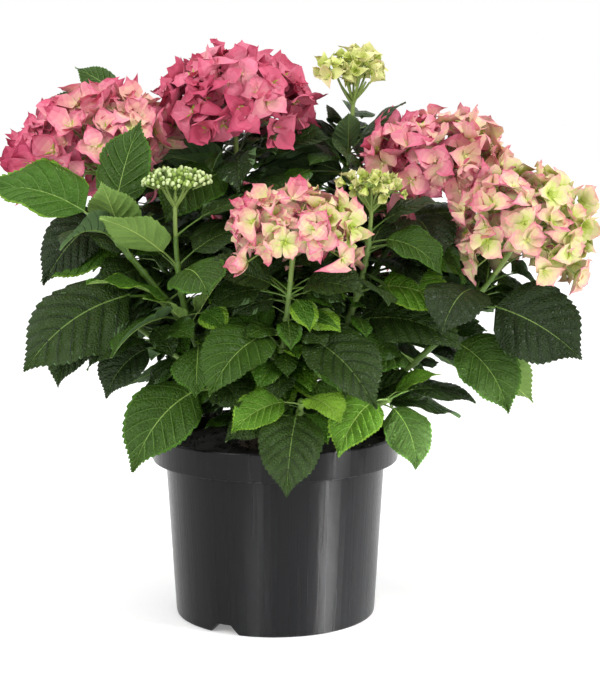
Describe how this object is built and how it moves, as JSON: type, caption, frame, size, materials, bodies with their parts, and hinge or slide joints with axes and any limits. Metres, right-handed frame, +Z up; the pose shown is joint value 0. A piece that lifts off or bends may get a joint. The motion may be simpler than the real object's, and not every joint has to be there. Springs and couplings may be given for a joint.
{
  "type": "potted hydrangea shrub",
  "caption": "Bushy bigleaf hydrangea with rounded pink and lime flower heads and broad toothed leaves, standing in a round dark plastic nursery pot filled with compost.",
  "frame": {"origin": "middle of the pot's flat underside", "axes": "+Z up the pot's axis; -Y towards the plant's front; +X to the right seen from the front"},
  "size_m": [0.5386, 0.3835, 0.5226],
  "materials": {
    "pot": "satin, moulded",
    "soil": "rough, crumbly and moist",
    "bark": "rough bark",
    "cane": "satin green stem, browner low down",
    "leaf": "satin, quilted between the veins",
    "sepal": "matt, soft",
    "bud": "matt, soft"
  },
  "bodies": {
    "root": {"buds_left_corymb": "bud", "buds_right_bud": "bud", "buds_top_bud": "bud", "cane_back_centre": "cane", "cane_back_left": "cane", "cane_back_right": "cane", "cane_far_right_head": "cane", "cane_front_head": "cane", "cane_left_corymb": "cane", "cane_left_head": "cane", "cane_left_shoot": "cane", "cane_right_bud": "cane", "cane_right_head": "cane", "cane_top_bud": "cane", "cane_top_head": "cane", "crown": "bark", "flowers_back_centre": "sepal", "flowers_back_right": "sepal", "flowers_far_right_head": "sepal", "flowers_front_head": "sepal", "flowers_left_head": "sepal", "flowers_right_head": "sepal", "flowers_top_head": "sepal", "leaves_back_centre": "leaf", "leaves_back_left": "leaf", "leaves_back_low": "leaf", "leaves_back_right": "leaf", "leaves_far_right_head": "leaf", "leaves_front_head": "leaf", "leaves_front_low": "leaf", "leaves_left_corymb": "leaf", "leaves_left_head": "leaf", "leaves_left_low": "leaf", "leaves_left_shoot": "leaf", "leaves_right_bud": "leaf", "leaves_right_head": "leaf", "leaves_right_low": "leaf", "leaves_top_bud": "leaf", "leaves_top_head": "leaf", "pot": "pot", "soil": "soil"}
  },
  "joints": []
}
